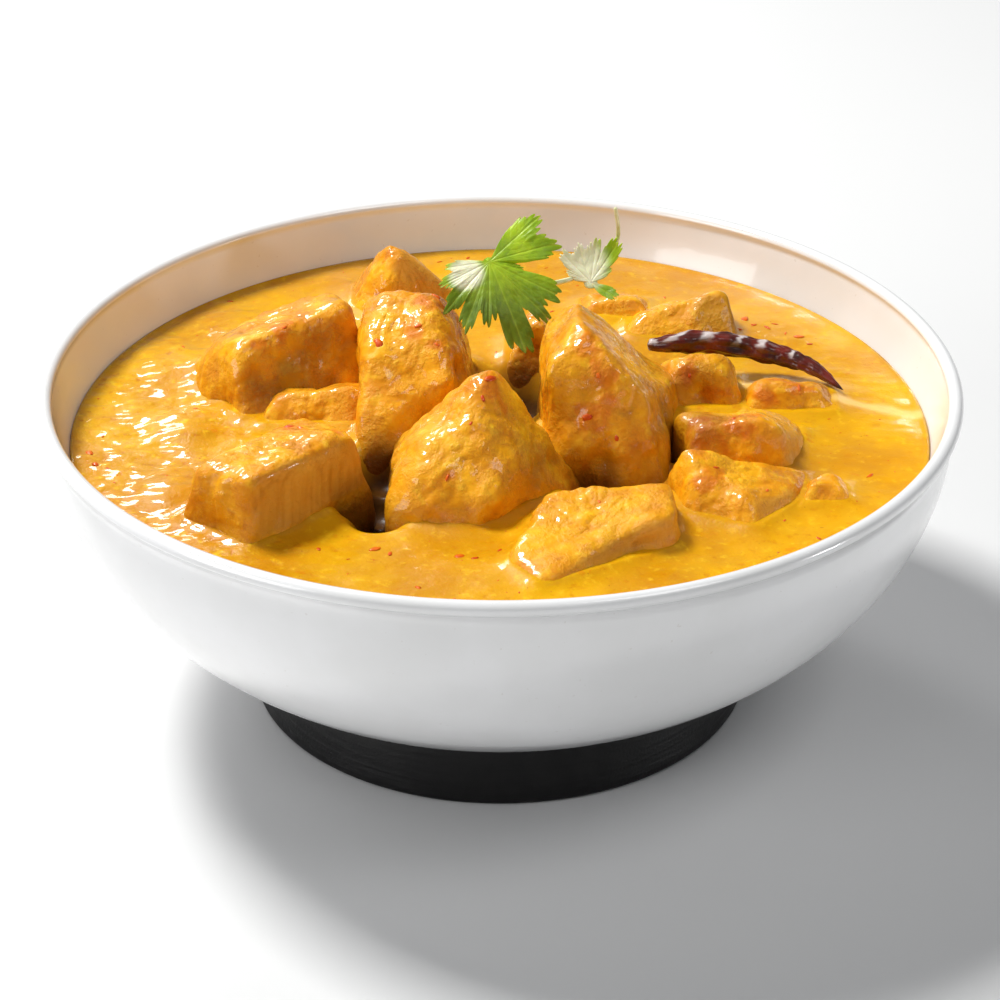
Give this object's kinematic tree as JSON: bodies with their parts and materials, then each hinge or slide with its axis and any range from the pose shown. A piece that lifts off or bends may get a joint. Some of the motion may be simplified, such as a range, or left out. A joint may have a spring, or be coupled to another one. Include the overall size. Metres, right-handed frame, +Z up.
{
  "type": "chicken curry in a bowl",
  "caption": "Chicken curry in a round footed bowl: pieces of chicken heaped in a thick yellow sauce, with a coriander sprig and a dried red chilli on top.",
  "frame": {"origin": "on the table under the middle of the bowl", "axes": "+Z up, -Y towards the front of the shown view, +X to its right"},
  "size_m": [0.199, 0.2, 0.1],
  "materials": {
    "bowl": "white glazed stoneware, glossy",
    "foot": "dark matt glaze",
    "sauce": "wet thick sauce with oil",
    "chicken": "cooked meat coated in sauce, wet in places",
    "chilli": "dried wrinkled skin, shiny",
    "leaf": "fresh leaf, satin",
    "stem": "fresh stem, satin"
  },
  "bodies": {
    "root": {"bowl": "bowl", "foot": "foot", "curry": "sauce", "chicken_01": "chicken", "chicken_02": "chicken", "chicken_03": "chicken", "chicken_04": "chicken", "chicken_05": "chicken", "chicken_06": "chicken", "chicken_07": "chicken", "chicken_08": "chicken", "chicken_09": "chicken", "chicken_10": "chicken", "chicken_11": "chicken", "chicken_12": "chicken", "chicken_13": "chicken", "chicken_14": "chicken", "chicken_15": "chicken", "chicken_16": "chicken", "dried_chilli": "chilli", "coriander_leaf_1": "leaf", "coriander_leaf_2": "leaf", "coriander_stem": "stem"}
  },
  "joints": []
}
